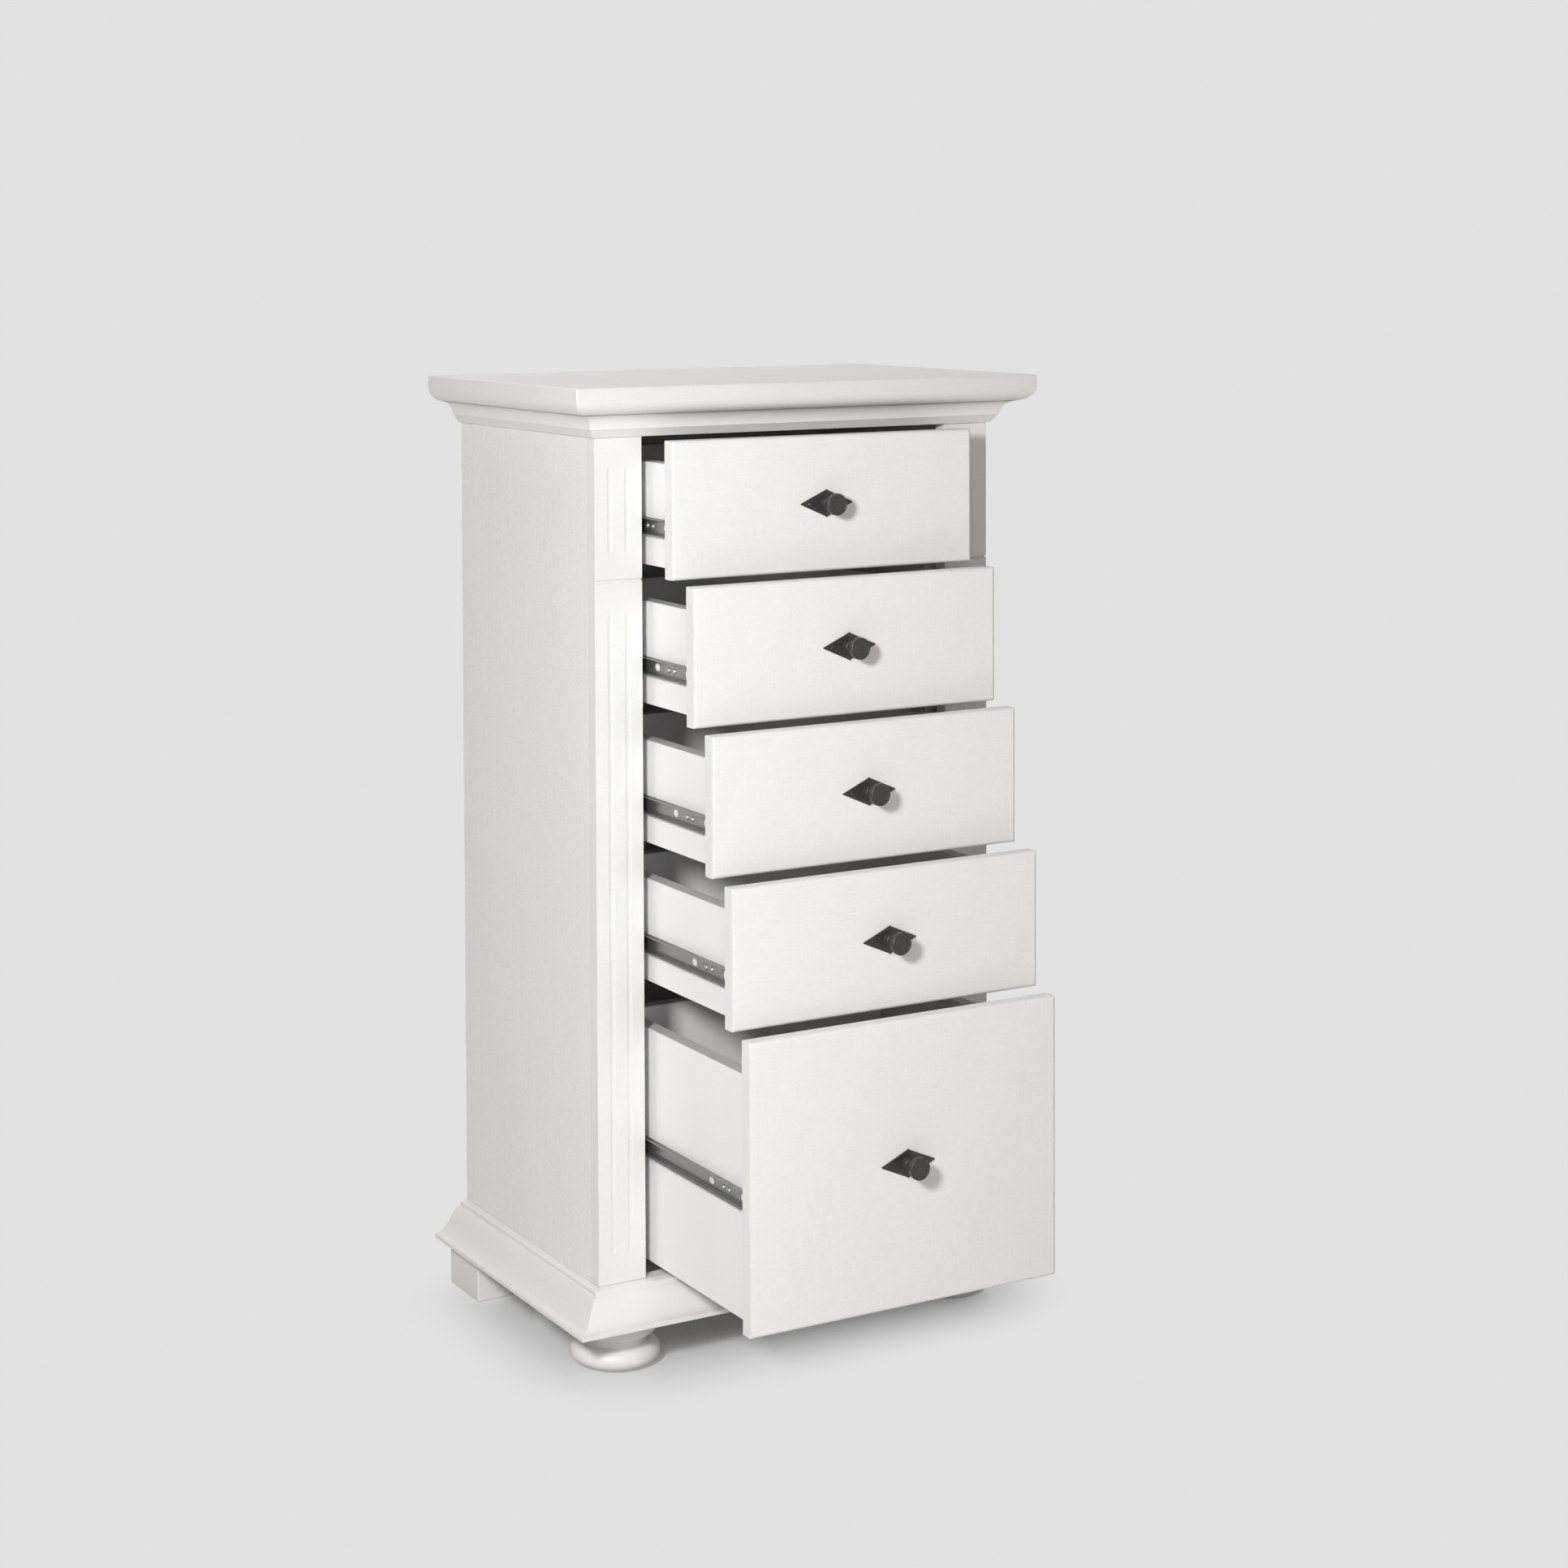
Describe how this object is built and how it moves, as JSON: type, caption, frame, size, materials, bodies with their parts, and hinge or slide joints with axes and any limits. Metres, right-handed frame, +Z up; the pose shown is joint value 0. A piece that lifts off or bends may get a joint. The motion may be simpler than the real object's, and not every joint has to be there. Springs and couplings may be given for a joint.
{
  "type": "chest of drawers",
  "caption": "Tall narrow chest of drawers with a moulded cornice and base, fluted stiles, turned front feet and drawers on metal side slides, standing open.",
  "frame": {"origin": "on the floor, under the middle of the box round the chest with its drawers open as at rest", "axes": "+X to the right of the front, +Y towards the back, +Z up; the drawers open towards -Y"},
  "size_m": [0.664, 0.6532, 1.2],
  "materials": {
    "painted_case": "satin off-white paint",
    "painted_front": "satin off-white paint",
    "painted_inside": "off-white paint, duller than outside",
    "dark_iron": "dark grey satin",
    "zinc_steel": "zinc plated"
  },
  "bodies": {
    "case": {"top_board": "painted_case", "cornice_moulding": "painted_case", "base_moulding": "painted_case", "bottom_board": "painted_inside", "back_panel": "painted_inside", "side_left": "painted_case", "side_right": "painted_case", "stile_left": "painted_case", "stile_right": "painted_case", "slide_panel_left": "painted_inside", "slide_panel_right": "painted_inside", "bun_foot_left": "painted_case", "bun_foot_right": "painted_case", "rear_foot_left": "painted_case", "rear_foot_right": "painted_case", "cabinet_slide_1_left": "zinc_steel", "cabinet_slide_1_right": "zinc_steel", "cabinet_slide_2_left": "zinc_steel", "cabinet_slide_2_right": "zinc_steel", "cabinet_slide_3_left": "zinc_steel", "cabinet_slide_3_right": "zinc_steel", "cabinet_slide_4_left": "zinc_steel", "cabinet_slide_4_right": "zinc_steel", "cabinet_slide_5_left": "zinc_steel", "cabinet_slide_5_right": "zinc_steel"},
    "drawer_1": {"drawer_1_front": "painted_front", "drawer_1_box": "painted_inside", "drawer_1_bottom": "painted_inside", "drawer_1_backplate": "dark_iron", "drawer_1_knob": "dark_iron", "drawer_1_slide_left": "zinc_steel", "drawer_1_slide_right": "zinc_steel"},
    "drawer_2": {"drawer_2_front": "painted_front", "drawer_2_box": "painted_inside", "drawer_2_bottom": "painted_inside", "drawer_2_backplate": "dark_iron", "drawer_2_knob": "dark_iron", "drawer_2_slide_left": "zinc_steel", "drawer_2_slide_right": "zinc_steel"},
    "drawer_3": {"drawer_3_front": "painted_front", "drawer_3_box": "painted_inside", "drawer_3_bottom": "painted_inside", "drawer_3_backplate": "dark_iron", "drawer_3_knob": "dark_iron", "drawer_3_slide_left": "zinc_steel", "drawer_3_slide_right": "zinc_steel"},
    "drawer_4": {"drawer_4_front": "painted_front", "drawer_4_box": "painted_inside", "drawer_4_bottom": "painted_inside", "drawer_4_backplate": "dark_iron", "drawer_4_knob": "dark_iron", "drawer_4_slide_left": "zinc_steel", "drawer_4_slide_right": "zinc_steel"},
    "drawer_5": {"drawer_5_front": "painted_front", "drawer_5_box": "painted_inside", "drawer_5_bottom": "painted_inside", "drawer_5_backplate": "dark_iron", "drawer_5_knob": "dark_iron", "drawer_5_slide_left": "zinc_steel", "drawer_5_slide_right": "zinc_steel"}
  },
  "joints": [
    {"name": "drawer_1_run", "type": "slide", "parent": "case", "child": "drawer_1", "axis": [0, -1, 0], "range_m": [-0.0669, 0.1951]},
    {"name": "drawer_2_run", "type": "slide", "parent": "case", "child": "drawer_2", "axis": [0, -1, 0], "range_m": [-0.1185, 0.1435]},
    {"name": "drawer_3_run", "type": "slide", "parent": "case", "child": "drawer_3", "axis": [0, -1, 0], "range_m": [-0.162, 0.1]},
    {"name": "drawer_4_run", "type": "slide", "parent": "case", "child": "drawer_4", "axis": [0, -1, 0], "range_m": [-0.2067, 0.0553]},
    {"name": "drawer_5_run", "type": "slide", "parent": "case", "child": "drawer_5", "axis": [0, -1, 0], "range_m": [-0.2452, 0.0168]}
  ]
}
